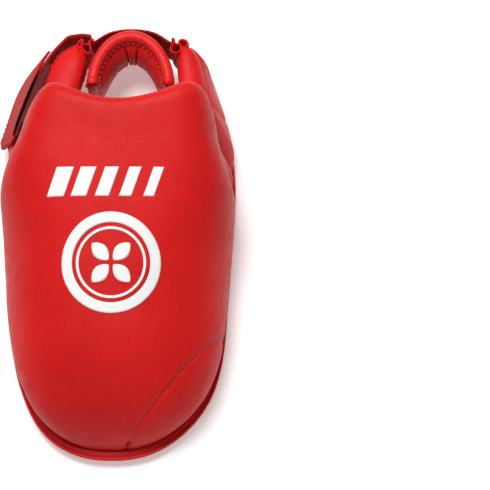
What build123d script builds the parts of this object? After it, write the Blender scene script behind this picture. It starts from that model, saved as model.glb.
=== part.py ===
"""Padded instep guard for karate and kick boxing, left foot, lying on its sole rim.

+Z is up, the toes point to -Y, the heel to +Y, and the closure strap is on the -X side.
The origin is in the plane that the rim rests on, under the middle of the foot.
"""
import os
from math import cos, hypot, pi, sin

from build123d import *

# Plan outline of the whole guard
HALF_WIDTH = 64.0       # half of the width over the rim bead
TOE_Y = -120.0          # the bead's front
TOE_RUN = 80.0          # length of the rounded toe end
TOE_POWER = 2.3         # 2 is an ellipse, more is squarer
TOE_TAPER = 5.0         # how much each side closes from TAPER_Y to the toe end
TOE_TAPER_LENGTH = 90.0
TOE_SHIFT = 3.0         # the toe's tip sits this far from the middle, towards the strap
TAPER_Y = 30.0          # the sides start to close here
ARM_END_Y = 104.0       # heel ends of the two ankle arms
HEEL_TAPER = 29.0       # how much each side closes over that length
TAPER_POWER = 1.87
HEEL_SHIFT = 7.0        # the heel sits this far from the middle, away from the strap

# Rim
BEAD_WIDTH = 8.0
BEAD_HEIGHT = 7.6
BEAD_ROUND = 2.4
PIPING_WIDTH = 1.6
PIPING_BOTTOM = 1.4
PIPING_TOP = 4.6
GAP = 0.3               # clearance between neighbouring pieces

# Instep dome
DOME_TOE_Y = -115.5
DOME_FRONT = 46.0       # the ridge line's height, carried on to the toe
DOME_BACK = 87.0        # height at the throat
DOME_LENGTH = 190.0
DOME_ROUND = 60.0       # length over which the toe end rounds up
BULGE_HEIGHT = 20.0     # the dome is widest at this height
SHOULDER = 9.5          # how far the dome's sides stand inside the arms at the throat
SHOULDER_START_Y = 16.0
SHOULDER_LENGTH = 34.0
CORNER_POWER = 2.2      # roundness of the dome's section towards the toe
CORNER_GAIN = 2.0       # and how much squarer it gets at the throat
CORNER_START_Y, CORNER_LENGTH = -20.0, 85.0
BULGE_SHARE = 0.4       # the bulge is no higher than this share of the dome
FOOT_SHARE = 0.96       # width at the dome's foot, as a share of its widest
COVER = 1.2             # leather and its backing
FOAM = 11.0
LINING = 1.0
LIP_Y = 61.0            # middle of the throat's lip
LIP_RADIUS = 85.0
DOME_ENDS = (1.0, 6.0, 16.0, 34.0, 65.0, 98.0, 127.0, 145.0, 162.0, 180.0, 198.0)  # from the toe
PANEL_SEAM = ((72, -44), (27, -88), (-2, -124))     # plan arc of the toe-side panel's seam
SEAM_GAP = 0.15

# The dome meets the arms on a slanting plane, y = SLANT_Y + SLANT * (z - BEAD_HEIGHT)
SLANT_Y = 36.0
SLANT = 0.5

# Ankle arms
ARM_TOP = 47.0
ARM_SHOULDER = 5.0      # height of the sloped top edge
ARM_DRAW = 2.6          # how far both faces are drawn in over that height
CORE_DROP, CORE_DRAW = 1.6, 2.0     # the same for the core, and how far it stays below the top
ARM_THICK = 13.0
ARM_END_THICK = 7.5
ARM_LEAN = 9.5          # how far the top leans inwards at the middle of the arm
ARM_END_LEAN = 3.5      # and at its end
ARM_LEAN_BIAS = 0.85    # below 1, the lean is greatest nearer the dome
ARM_THIN_Y = 60.0       # the arm starts to thin here
ARM_START_Y = 30.0
GATHER_FRONT, GATHER_BACK = 104.3, 107.8    # the frill behind each arm's end
GATHER_BOTTOM, GATHER_TOP = 14.0, 44.0
GATHER_OUTER, GATHER_INNER = 1.0, 6.6       # depths below the arm's outer face

# Elastics
BAND_THICK = 1.6
ARCH_BAND_FRONT, ARCH_BAND_BACK = -34.0, 26.0
ARCH_BAND_Z = 5.4
LOOP_FRONT, LOOP_BACK = -77.0, -47.0
LOOP_LEFT, LOOP_RIGHT = -25.6, 25.6
LOOP_HIGH, LOOP_LOW = 21.0, 9.0
TAB_WIDTH = 7.8

# Heel sling
PAD_HALF = 23.5         # half width over the bead
PAD_CENTRE_Y = 80.0     # where the straight legs become the arch
PAD_FRONT_Y = 75.5
PAD_REACH = 32.0        # from there to the back of the arch
PAD_BOTTOM, PAD_TOP = 9.0, 47.0
PAD_LEG, PAD_ARCH = 8.5, 13.0      # thickness of a leg, and of the arch
PAD_BEAD = 6.4
ELASTIC_BOTTOM, ELASTIC_TOP = 13.0, 43.0
ELASTIC_END_Y = 106.0

# Closure strap, on the outside of the left arm
STRAP_BOTTOM, STRAP_TOP = 12.0, 42.0
STRAP_START_Y, STRAP_END_Y = 101.0, 57.0
PATCH_THICK = 1.2
WEB_THICK = 1.4
TAIL_END_Y = 95.0
TAB_SPAN = (47.5, 56.0)     # the strap's anchor tab: its ends, heights and depths
TAB_BOTTOM, TAB_TOP = 18.0, 30.0
TAB_OUTER, TAB_INNER = -2.0, -0.2

os.makedirs("parts", exist_ok=True)


def smooth(value):
    """Ease from 0 to 1."""
    value = min(max(value, 0.0), 1.0)
    return value * value * (3 - 2 * value)


def rounded(run, length, power):
    """Rise from 0 to 1 of a rounded end, at a distance run from its tip."""
    return (1 - max(0.0, 1 - run / length) ** power) ** (1 / power)


def centre_x(y):
    """The guard's middle line, which drifts one way at the heel and the other at the toe."""
    heel = HEEL_SHIFT * smooth((y - TAPER_Y) / (ARM_END_Y - TAPER_Y))
    return heel - TOE_SHIFT * smooth((TOE_Y + TOE_RUN / 2 - y) / TOE_RUN * 2)


def half_width(y):
    """Half of the width behind the rounded toe end."""
    taper = max(0.0, (y - TAPER_Y) / (ARM_END_Y - TAPER_Y))
    toe = TOE_TAPER * smooth((TAPER_Y - y) / TOE_TAPER_LENGTH)
    return HALF_WIDTH - HEEL_TAPER * taper**TAPER_POWER - toe


def save(builder, name):
    """Name a finished piece and write it."""
    builder.part.label = name
    export_step(builder.part, f"parts/{name}.step")


# ---------------------------------------------------------------- rim


def rim_side(inset, side):
    """Points of one side of the rim's outline, from the toe to the arm's end."""
    points = []
    for step in range(1, 8):
        angle = step * pi / 14
        y = TOE_Y + TOE_RUN - (TOE_RUN - inset) * cos(angle) ** (2 / TOE_POWER)
        x = (half_width(y) - inset) * sin(angle) ** (2 / TOE_POWER)
        points.append((centre_x(y) + side * x, y))
    for y in (-10, 20, 45, 65, 85, ARM_END_Y):
        points.append((centre_x(y) + side * (half_width(y) - inset), y))
    return points


def rim_line(inset):
    """The rim's outline from the left arm's end round the toe to the right arm's end."""
    tip = (centre_x(TOE_Y), TOE_Y + inset)
    return [*reversed(rim_side(inset, -1)), tip, *rim_side(inset, 1)]


def rim_ring(outer_inset, inner_inset, bottom, top):
    """A strip of the rim, between two insets from the outline."""
    outer, inner = rim_line(outer_inset), rim_line(inner_inset)
    with BuildPart() as ring:
        with BuildSketch(Plane.XY.offset(bottom)):
            with BuildLine():
                Spline(*outer)
                Line(outer[-1], inner[-1])
                Spline(*reversed(inner))
                Line(inner[0], outer[0])
            make_face()
        extrude(amount=top - bottom)
    return ring


rim_bead = rim_ring(0, BEAD_WIDTH, 0, BEAD_HEIGHT)
with rim_bead:
    long_edges = rim_bead.edges().filter_by(GeomType.BSPLINE)
    chamfer(long_edges, BEAD_ROUND)
save(rim_bead, "rim_bead")

piping_inset = BEAD_WIDTH + 0.1
rim_piping = rim_ring(piping_inset, piping_inset + PIPING_WIDTH, PIPING_BOTTOM, PIPING_TOP)
save(rim_piping, "rim_piping")


# ---------------------------------------------------------------- instep dome


def corner_angle(share, power):
    """Angle on a quarter of a superellipse, for points that lie evenly along it."""
    if share < 0.5:
        return pi / 4 * (2 * share) ** (power / 2)
    return pi / 2 - pi / 4 * (2 - 2 * share) ** (power / 2)


def dome_arch(y, inset):
    """Outline of the dome's cross-section at y, inset from its outside."""
    run = y - DOME_TOE_Y - inset
    shoulder = SHOULDER * smooth((y - SHOULDER_START_Y) / SHOULDER_LENGTH)
    width = (half_width(y) - shoulder - inset) * rounded(run, TOE_RUN, TOE_POWER)
    ridge = DOME_FRONT + (DOME_BACK - DOME_FRONT) * (y - DOME_TOE_Y) / DOME_LENGTH
    height = (ridge - inset) * rounded(run, DOME_ROUND, 2)
    bulge = min(BULGE_HEIGHT, BULGE_SHARE * height)
    power = CORNER_POWER + CORNER_GAIN * smooth((y - CORNER_START_Y) / CORNER_LENGTH)
    points = [(centre_x(y) + FOOT_SHARE * width, 0)]
    for step in range(13):
        angle = corner_angle(min(step, 12 - step) / 6, power)
        across = abs(cos(angle)) ** (2 / power) * (1 if step < 6 else -1)
        up = sin(angle) ** (2 / power)
        points.append((centre_x(y) + width * across, bulge + (height - bulge) * up))
    points.append((centre_x(y) - FOOT_SHARE * width, 0))
    return points


def dome_block(inset):
    """The solid dome inside an inset from its outer face."""
    with BuildPart() as block:
        for end in DOME_ENDS:
            y = DOME_TOE_Y + max(end, inset + end * 0.9)
            arch = dome_arch(y, inset)
            with BuildSketch(Plane.XZ.offset(-y)):
                with BuildLine():
                    Spline(*arch)
                    Line(arch[-1], arch[0])
                make_face()
        loft()
    return block.part


foot = BEAD_HEIGHT + GAP
with BuildPart() as open_space:
    with BuildSketch(Plane.YZ):
        with BuildLine():
            Polyline(
                (SLANT_Y, foot), (SLANT_Y + SLANT * 90, foot + 90), (150, foot + 90), (150, -10),
                (-150, -10), (-150, foot), (SLANT_Y, foot),
            )
        make_face()
    extrude(amount=100, both=True)
    with BuildSketch(Plane.XY.offset(ARM_TOP)):
        with Locations((HEEL_SHIFT / 2, LIP_Y + LIP_RADIUS)):
            Circle(LIP_RADIUS)
    extrude(amount=60)

cover_outside = dome_block(0)
cover_inside = dome_block(COVER)
foam_outside = dome_block(COVER + 0.2)
foam_inside = dome_block(COVER + 0.2 + FOAM)
lining_outside = dome_block(COVER + 0.4 + FOAM)
lining_inside = dome_block(COVER + 0.4 + FOAM + LINING)

with BuildPart() as toe_corner:
    with BuildSketch(Plane.XY):
        with BuildLine():
            ThreePointArc(*PANEL_SEAM)
            Polyline(PANEL_SEAM[2], (PANEL_SEAM[0][0], PANEL_SEAM[2][1]), PANEL_SEAM[0])
        make_face()
    extrude(amount=100)

with BuildPart() as toe_corner_gap:
    add(toe_corner.part)
    offset(amount=SEAM_GAP)

with BuildPart() as instep_cover:
    add(cover_outside)
    add(cover_inside, mode=Mode.SUBTRACT)
    add(open_space.part, mode=Mode.SUBTRACT)
    add(toe_corner_gap.part, mode=Mode.SUBTRACT)
save(instep_cover, "instep_cover")

with BuildPart() as toe_side_panel:
    add(cover_outside)
    add(cover_inside, mode=Mode.SUBTRACT)
    add(open_space.part, mode=Mode.SUBTRACT)
    add(toe_corner.part, mode=Mode.INTERSECT)
save(toe_side_panel, "toe_side_panel")

with BuildPart() as instep_foam:
    add(foam_outside)
    add(foam_inside, mode=Mode.SUBTRACT)
    add(open_space.part, mode=Mode.SUBTRACT)
save(instep_foam, "instep_foam")

for name, side in (("lining_left", -1), ("lining_right", 1)):
    with BuildPart() as lining:
        add(lining_outside)
        add(lining_inside, mode=Mode.SUBTRACT)
        with Locations((0, -GAP, 0)):
            add(open_space.part, mode=Mode.SUBTRACT)
        with BuildSketch(Plane.XY):
            with Locations((side * 50.1, 0)):
                Rectangle(100, 300)
        extrude(amount=120, mode=Mode.INTERSECT)
    save(lining, name)


# ---------------------------------------------------------------- ankle arms


def arm_lean(y):
    """How far the arm's top leans inwards at y."""
    along = (y - SLANT_Y) / (ARM_END_Y - SLANT_Y)
    return ARM_END_LEAN + ARM_LEAN * sin(pi * min(max(along, 0.0), 1.0) ** ARM_LEAN_BIAS)


def arm_thickness(y):
    """Thickness of an arm at y: it thins towards the heel."""
    share = smooth((y - ARM_THIN_Y) / (ARM_END_Y - ARM_THIN_Y))
    return ARM_THICK + (ARM_END_THICK - ARM_THICK) * share


def arm_point(side, y, z, depth):
    """Plan position of a point of an arm, at a depth below its outer face."""
    slope = half_width(y + 0.5) - half_width(y - 0.5)
    length = hypot(1, slope)
    x = half_width(y) - arm_lean(y) * z / ARM_TOP - depth / length
    return centre_x(y) + side * x, y + depth * slope / length


def wall(side, span, levels, outer, inner):
    """A piece of wall along an arm.

    span is its two ends in y. Each level is a height and how far both faces are drawn in
    there. outer and inner are depths below the arm's outer face, or functions of y.
    """
    ends = [span[0] + (span[1] - span[0]) * step / 6 for step in range(7)]
    with BuildPart() as piece:
        for z, draw in levels:
            outside = [arm_point(side, y, z, outer + draw) for y in ends]
            inside = [arm_point(side, y, z, inner(y) - draw) for y in reversed(ends)]
            with BuildSketch(Plane.XY.offset(z)):
                with BuildLine():
                    Spline(*outside)
                    Line(outside[-1], inside[0])
                    Spline(*inside)
                    Line(inside[-1], outside[0])
                make_face()
        loft(ruled=True)
    return piece.part


with BuildPart() as dome_side:
    with BuildSketch(Plane.YZ):
        with BuildLine():
            Polyline(
                (SLANT_Y + GAP, foot), (SLANT_Y + GAP + SLANT * 90, foot + 90), (0, foot + 90),
                (0, -10), (SLANT_Y + GAP, -10), (SLANT_Y + GAP, foot),
            )
        make_face()
    extrude(amount=100, both=True)

arm_levels = ((foot, 0), (ARM_TOP - ARM_SHOULDER, 0), (ARM_TOP, ARM_DRAW))
core_levels = ((foot, 0), (ARM_TOP - ARM_SHOULDER, 0), (ARM_TOP - CORE_DROP, CORE_DRAW))
arm_span = (ARM_START_Y, ARM_END_Y)
for name, side in (("left_arm", -1), ("right_arm", 1)):
    whole = wall(side, arm_span, arm_levels, 0, arm_thickness)
    room = wall(side, arm_span, core_levels, COVER, lambda y: arm_thickness(y) - COVER)
    core = wall(side, arm_span, core_levels, COVER + 0.2, lambda y: arm_thickness(y) - COVER - 0.2)
    with BuildPart() as arm_cover:
        add(whole)
        add(room, mode=Mode.SUBTRACT)
        add(dome_side.part, mode=Mode.SUBTRACT)
    save(arm_cover, f"{name}_cover")
    with BuildPart() as arm_foam:
        add(core)
        add(dome_side.part, mode=Mode.SUBTRACT)
    save(arm_foam, f"{name}_foam")
    with BuildPart() as gather:
        ends, levels = (GATHER_FRONT, GATHER_BACK), ((GATHER_BOTTOM, 0), (GATHER_TOP, 0))
        add(wall(side, ends, levels, GATHER_OUTER, lambda y: GATHER_INNER))
    save(gather, f"{name}_gather")


# ---------------------------------------------------------------- elastics under the foot

with BuildPart() as arch_band:
    front = half_width(ARCH_BAND_FRONT) - BEAD_WIDTH - 2 * GAP
    back = half_width(ARCH_BAND_BACK) - BEAD_WIDTH - 2 * GAP
    with BuildSketch(Plane.XY.offset(ARCH_BAND_Z)):
        with BuildLine():
            Polyline(
                (-front, ARCH_BAND_FRONT), (front, ARCH_BAND_FRONT), (back, ARCH_BAND_BACK),
                (-back, ARCH_BAND_BACK), (-front, ARCH_BAND_FRONT),
            )
        make_face()
    extrude(amount=BAND_THICK)
save(arch_band, "arch_band")


def loop_height(share):
    """Height of the slack toe loop, share of the way across: it hangs with a fold."""
    hang = LOOP_LOW + (LOOP_HIGH - LOOP_LOW) * abs(2 * share - 1) ** 2.5
    return hang + 4.0 * sin(pi * share) ** 2 * sin(4 * pi * share)


with BuildPart() as toe_loop:
    shares = [step / 12 for step in range(13)]
    across = [LOOP_LEFT + (LOOP_RIGHT - LOOP_LEFT) * share for share in shares]
    upper = [(x, loop_height(share) + BAND_THICK / 2) for x, share in zip(across, shares)]
    lower = [(x, loop_height(share) - BAND_THICK / 2) for x, share in zip(across, shares)]
    with BuildSketch(Plane.XZ.offset(-LOOP_FRONT)):
        with BuildLine():
            Spline(*upper)
            Line(upper[-1], lower[-1])
            Spline(*reversed(lower))
            Line(lower[0], upper[0])
        make_face()
    extrude(amount=-(LOOP_BACK - LOOP_FRONT))
save(toe_loop, "toe_loop")

with BuildPart() as toe_loop_tabs:
    for x in (LOOP_LEFT - TAB_WIDTH / 2, LOOP_RIGHT + TAB_WIDTH / 2):
        with BuildSketch(Plane.XY.offset(LOOP_HIGH - BAND_THICK / 2)):
            with Locations((x, (LOOP_FRONT + LOOP_BACK) / 2)):
                Rectangle(TAB_WIDTH - 0.4, LOOP_BACK - LOOP_FRONT)
        extrude(amount=BAND_THICK)
save(toe_loop_tabs, "toe_loop_tabs")


# ---------------------------------------------------------------- heel sling


def pad_line(inset, leg_inset):
    """Plan line of the heel pad, from one leg over the arch to the other."""
    half, reach = PAD_HALF - leg_inset, PAD_REACH - inset
    points = [(HEEL_SHIFT + half, PAD_FRONT_Y)]
    for step in range(9):
        angle = step * pi / 8
        points.append((HEEL_SHIFT + half * cos(angle), PAD_CENTRE_Y + reach * sin(angle)))
    points.append((HEEL_SHIFT - half, PAD_FRONT_Y))
    return points


def pad_layer(outer, inner, bottom, top):
    """A layer of the heel pad; outer and inner are its arch and leg insets."""
    outside, inside = pad_line(*outer), pad_line(*inner)
    with BuildPart() as layer:
        with BuildSketch(Plane.XY.offset(bottom)):
            with BuildLine():
                Spline(*outside)
                Line(outside[-1], inside[-1])
                Spline(*reversed(inside))
                Line(inside[0], outside[0])
            make_face()
        extrude(amount=top - bottom)
    return layer


bead_inner = (PAD_BEAD, PAD_BEAD)
face_outer = (PAD_ARCH - LINING, PAD_LEG - LINING)
layers = {
    "heel_pad_back": ((0.3, 0.3), (1.3, 1.3), PAD_BOTTOM + PAD_BEAD, PAD_TOP - PAD_BEAD),
    "heel_pad_foam": ((1.5, 1.5), (11.8, 7.3), PAD_BOTTOM + PAD_BEAD, PAD_TOP - PAD_BEAD),
    "heel_pad_face": (face_outer, (PAD_ARCH, PAD_LEG), PAD_BOTTOM + 2, PAD_TOP - 2),
    "heel_bead_top": ((0, 0), bead_inner, PAD_TOP - PAD_BEAD + 0.2, PAD_TOP),
    "heel_bead_bottom": ((0, 0), bead_inner, PAD_BOTTOM, PAD_BOTTOM + PAD_BEAD - 0.2),
}
for name, (outer, inner, bottom, top) in layers.items():
    save(pad_layer(outer, inner, bottom, top), name)

with BuildPart() as heel_elastic:
    left, right = HEEL_SHIFT - PAD_HALF, HEEL_SHIFT + PAD_HALF
    back = PAD_CENTRE_Y + PAD_REACH
    outer_y, inner_y = ELASTIC_END_Y, ELASTIC_END_Y - BAND_THICK
    with BuildSketch(Plane.XY.offset(ELASTIC_BOTTOM)):
        with BuildLine():
            ThreePointArc((left, outer_y), (HEEL_SHIFT, back + GAP + BAND_THICK), (right, outer_y))
            Line((right, outer_y), (right, inner_y))
            ThreePointArc((right, inner_y), (HEEL_SHIFT, back + GAP), (left, inner_y))
            Line((left, inner_y), (left, outer_y))
        make_face()
    extrude(amount=ELASTIC_TOP - ELASTIC_BOTTOM)
save(heel_elastic, "heel_elastic")


# ---------------------------------------------------------------- closure strap

strap_levels = ((STRAP_BOTTOM, 0), (STRAP_TOP, 0))      # heights of a strip's two edges
patch_levels = ((STRAP_BOTTOM + 2, 0), (STRAP_TOP - 2, 0))
loop_patch_depth = -0.1
hook_depth = loop_patch_depth - PATCH_THICK - 0.4
web_depth = hook_depth - PATCH_THICK - 0.1
tail_hook_depth = web_depth - WEB_THICK - 0.4
tail_depth = tail_hook_depth - PATCH_THICK - 0.1

strip_layers = {
    "arm_loop_patch": ((59, 97), patch_levels, loop_patch_depth, PATCH_THICK),
    "strap_hook_patch": ((60, 96), patch_levels, hook_depth, PATCH_THICK),
    "strap_web": ((STRAP_END_Y, STRAP_START_Y), strap_levels, web_depth, WEB_THICK),
    "tail_hook_patch": ((62, 92), patch_levels, tail_hook_depth, PATCH_THICK),
    "tail_web": ((STRAP_END_Y + 1, TAIL_END_Y), strap_levels, tail_depth, WEB_THICK),
}
for name, (span, levels, depth, thickness) in strip_layers.items():
    with BuildPart() as strip:
        add(wall(-1, span, levels, depth - thickness, lambda y, inner=depth: inner))
    save(strip, name)

with BuildPart() as strap_anchor_tab:
    add(wall(-1, TAB_SPAN, ((TAB_BOTTOM, 0), (TAB_TOP, 0)), TAB_OUTER, lambda y: TAB_INNER))
save(strap_anchor_tab, "strap_anchor_tab")
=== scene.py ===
"""Looks of the padded instep guard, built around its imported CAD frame.

Shapes are worked out in millimetres from the CAD boxes, and turned into metres when a mesh is made.
"""

import math

import bpy
import numpy as np
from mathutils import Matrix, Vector, kdtree
from mathutils.bvhtree import BVHTree


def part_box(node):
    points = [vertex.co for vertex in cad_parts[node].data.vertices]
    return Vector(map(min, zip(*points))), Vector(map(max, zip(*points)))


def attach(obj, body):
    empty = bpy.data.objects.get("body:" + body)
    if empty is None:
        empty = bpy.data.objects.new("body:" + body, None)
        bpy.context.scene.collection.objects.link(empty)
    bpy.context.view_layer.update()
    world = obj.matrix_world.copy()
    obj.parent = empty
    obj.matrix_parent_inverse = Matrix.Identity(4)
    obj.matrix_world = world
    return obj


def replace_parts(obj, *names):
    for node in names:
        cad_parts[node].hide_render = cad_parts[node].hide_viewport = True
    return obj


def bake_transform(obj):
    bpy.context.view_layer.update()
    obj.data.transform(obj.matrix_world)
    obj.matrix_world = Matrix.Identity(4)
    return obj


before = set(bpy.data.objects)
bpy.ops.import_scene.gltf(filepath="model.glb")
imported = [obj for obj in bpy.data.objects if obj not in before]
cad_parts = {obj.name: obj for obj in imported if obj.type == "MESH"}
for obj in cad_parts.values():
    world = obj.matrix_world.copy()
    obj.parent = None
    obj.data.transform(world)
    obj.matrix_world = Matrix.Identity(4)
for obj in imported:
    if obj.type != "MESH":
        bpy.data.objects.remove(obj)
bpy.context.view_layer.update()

MM = 0.001
PI = math.pi
UP = np.array([0.0, 0.0, 1.0])
rng = np.random.default_rng(11)


def box_mm(node):
    """Lowest and highest corner of a CAD node, in millimetres."""
    low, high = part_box(node)
    return np.array(low) / MM, np.array(high) / MM


# ---------------------------------------------------------------- sizes from the frame
RIM_LOW, RIM_HIGH = box_mm("rim_bead")
TOE_Y = RIM_LOW[1]
ARM_END_Y = RIM_HIGH[1]
BEAD_HEIGHT = RIM_HIGH[2]
HALF_WIDTH = 64.0
BEAD_RADIUS = BEAD_HEIGHT / 2
FOOT = BEAD_HEIGHT - 1.6           # covers are tucked into the bead down to here
TOE_RUN = 80.0
TOE_POWER = 2.3
TOE_TAPER, TOE_TAPER_LENGTH, TOE_SHIFT = 5.0, 90.0, 3.0
TAPER_Y = 30.0
HEEL_TAPER = 29.0
TAPER_POWER = 1.87
PAD_LOW, PAD_HIGH = box_mm("heel_bead_top")
HEEL_SHIFT = (PAD_LOW[0] + PAD_HIGH[0]) / 2

DOME_TOE_Y = box_mm("instep_cover")[0][1]
DOME_FRONT, DOME_BACK, DOME_LENGTH, DOME_ROUND = 46.0, 87.0, 190.0, 60.0
DOME_WALL = 13.0                    # cover, foam and lining together
SHOULDER, SHOULDER_START_Y, SHOULDER_LENGTH = 8.3, 16.0, 34.0
WALL_HEIGHT, WALL_SHARE = 13.0, 0.4   # the steep part under the curve: at most, and share of the height
WALL_LEAN = 0.045                   # share of the dome's width by which it leans in at its foot
CORNER_POWER, CORNER_GAIN = 2.2, 3.2
CORNER_START_Y, CORNER_LENGTH = -20.0, 85.0
LIP_X, LIP_Y, LIP_RADIUS = 3.5, 61.0, 85.0
SLANT_Y, SLANT = 36.0, 0.5
ARM_TOP = box_mm("right_arm_cover")[1][2]
ARM_THICK, ARM_END_THICK = 13.0, 7.5
ARM_LEAN, ARM_END_LEAN = 9.5, 3.5


def smooth(value):
    value = np.clip(value, 0.0, 1.0)
    return value * value * (3 - 2 * value)


def rounded(run, length, power):
    """Rise from 0 to 1 of a rounded end, at a distance run from its tip."""
    left = np.clip(1 - np.asarray(run, float) / length, 0.0, 1.0)
    return (1 - left**power) ** (1 / power)


def centre_x(y):
    heel = HEEL_SHIFT * smooth((y - TAPER_Y) / (ARM_END_Y - TAPER_Y))
    return heel - TOE_SHIFT * smooth((TOE_Y + TOE_RUN / 2 - y) / TOE_RUN * 2)


def half_width(y):
    taper = np.maximum(0.0, (y - TAPER_Y) / (ARM_END_Y - TAPER_Y))
    toe = TOE_TAPER * smooth((TAPER_Y - y) / TOE_TAPER_LENGTH)
    return HALF_WIDTH - HEEL_TAPER * taper**TAPER_POWER - toe


# ---------------------------------------------------------------- lines and meshes

WELD_DISTANCE = 0.00002              # metres, as modifiers take them
TIP = 0.15                          # share of a tube's radius at its very ends


def run_along(line):
    """How far along a polyline each of its points lies."""
    return np.concatenate([[0], np.cumsum(np.linalg.norm(np.diff(line, axis=0), axis=1))])


def even(line, count, closed=False):
    """count evenly spaced points of a polyline."""
    run = run_along(line)
    where = np.linspace(0, run[-1], count, endpoint=not closed)
    return np.stack([np.interp(where, run, line[:, k]) for k in range(line.shape[1])], 1)


def spline(points, count, closed=False):
    """count evenly spaced points on a smooth line through the given ones."""
    points = np.array(points, float)
    if closed:
        ends = np.vstack([points[-1:], points, points[:2]])
    else:
        ends = np.vstack([2 * points[:1] - points[1:2], points, 2 * points[-1:] - points[-2:-1]])
    t = np.linspace(0, 1, 12, endpoint=False)[:, None]
    spans = [
        0.5 * (2 * b + (c - a) * t + (2 * a - 5 * b + 4 * c - d) * t**2 + (3 * b - a - 3 * c + d) * t**3)
        for a, b, c, d in zip(ends, ends[1:], ends[2:], ends[3:])
    ]
    return even(np.vstack([*spans, ends[-2:-1]]), count, closed)


def unit(vectors):
    return vectors / np.maximum(np.linalg.norm(vectors, axis=-1, keepdims=True), 1e-9)


def tangents(path, closed=False):
    if closed:
        return unit(np.roll(path, -1, 0) - np.roll(path, 1, 0))
    return unit(np.gradient(path, axis=0))


def left_of(along):
    """Plan directions a quarter turn to the left of the given ones."""
    return np.stack([-along[:, 1], along[:, 0]], 1)


def raised(flat, z):
    """Plan points at a height."""
    return np.hstack([flat, np.full((len(flat), 1), z)])


def peak(distance, width):
    """A bell of height 1, nearly 0 from twice its width on."""
    return np.exp(-((distance / width) ** 2))


def wave(value, length, shift=0):
    """A sine wave of a given length."""
    return np.sin(value * 2 * PI / length + shift)


def standing(flat, z):
    """A grid of points from the plan points of its rows and the heights of its columns."""
    return np.concatenate([flat, np.broadcast_to(z, flat.shape[:2])[..., None]], 2)


def make_piece(name, points, faces, look, body, weave=None):
    """A mesh piece from points in millimetres, riding on a body; look is a material and its slot name, and
    the slot name is not used.
    """
    material, slot = look
    mesh = bpy.data.meshes.new(name)
    mesh.from_pydata((np.asarray(points) * MM).tolist(), [], faces)
    mesh.validate()
    mesh.polygons.foreach_set("use_smooth", [True] * len(mesh.polygons))
    if weave is not None:
        layer = mesh.attributes.new("weave", "FLOAT_VECTOR", "POINT")
        flat = np.zeros((len(points), 3), np.float32)
        flat[:, :2] = weave
        layer.data.foreach_set("vector", flat.ravel())
    piece = bpy.data.objects.new(name, mesh)
    bpy.context.scene.collection.objects.link(piece)
    mesh.materials.append(material)
    if body:
        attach(piece, body)
    return piece


def grid_faces(rows, cols, wrap_cols=False, wrap_rows=False):
    """Quads of a grid of points stored row by row."""
    faces = []
    for r in range(rows if wrap_rows else rows - 1):
        for c in range(cols if wrap_cols else cols - 1):
            right, below = (c + 1) % cols, (r + 1) % rows
            faces.append((r * cols + c, r * cols + right, below * cols + right, below * cols + c))
    return faces


def skin(piece, thickness):
    """Gives an open skin its thickness, on the side away from its normals."""
    piece.modifiers.new("weld", "WELD").merge_threshold = WELD_DISTANCE
    solid = piece.modifiers.new("skin", "SOLIDIFY")
    solid.thickness = thickness * MM
    solid.offset = -1
    return piece


def sheet_piece(name, grid, look, body, thickness):
    """A skin from an open grid of points."""
    faces = grid_faces(*grid.shape[:2])
    return skin(make_piece(name, grid.reshape(-1, 3), faces, look, body), thickness)


def swept(name, sections, look, body, closed=False, weave=None):
    """A closed solid through a row of closed sections, an array of rows, points, xyz."""
    rows, cols = sections.shape[:2]
    faces = grid_faces(rows, cols, wrap_cols=True, wrap_rows=closed)
    if not closed:
        faces.append(tuple(range(cols))[::-1])
        faces.append(tuple((rows - 1) * cols + c for c in range(cols)))
    flat = None if weave is None else weave.reshape(-1, 2)
    return make_piece(name, sections.reshape(-1, 3), faces, look, body, flat)


def tube_sections(path, radius, sides, up=UP, closed=False):
    """Round sections along a path, with one radius for each of its points."""
    along = tangents(path, closed)
    side = unit(np.cross(along, up))
    top = unit(np.cross(side, along))
    angle = np.linspace(0, 2 * PI, sides, endpoint=False)[None, :, None]
    rings = np.cos(angle) * side[:, None] + np.sin(angle) * top[:, None]
    return path[:, None] + radius[:, None, None] * rings


def round_ends(path, radius):
    """Radii that close a tube's two ends like a finger, down to a small blunt tip."""
    run = run_along(path)
    near = np.minimum(run, run[-1] - run)
    return radius * np.maximum(TIP, np.sqrt(np.clip(1 - (1 - np.minimum(near / radius, 1)) ** 2, 0, 1)))


def ribbon(name, path, across, width, thickness, look, body, edge, cols):
    """A band of webbing: path is its middle line, across one direction of its width or one for each point.

    edge is how far its two long edges are serrated.
    """
    across = np.broadcast_to(across, path.shape)
    out = unit(np.cross(tangents(path), across))
    steps = run_along(path)
    share = np.linspace(-1, 1, cols)
    width = np.broadcast_to(width, len(path))
    half = (width / 2 + edge * np.sign(np.sin(steps * PI / 0.9)))[:, None]
    thin = thickness / 2 * (1 - 0.55 * np.abs(share) ** 12)[None, :]
    offsets = np.concatenate([share, share[::-1]])[None, :] * half
    lifts = np.concatenate([thin, -thin[:, ::-1]], 1)
    sections = path[:, None] + across[:, None] * offsets[:, :, None] + out[:, None] * lifts[:, :, None]
    weave = np.stack([np.broadcast_to(steps[:, None], offsets.shape), offsets], 2)
    return swept(name, sections, look, body, weave=weave)


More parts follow.
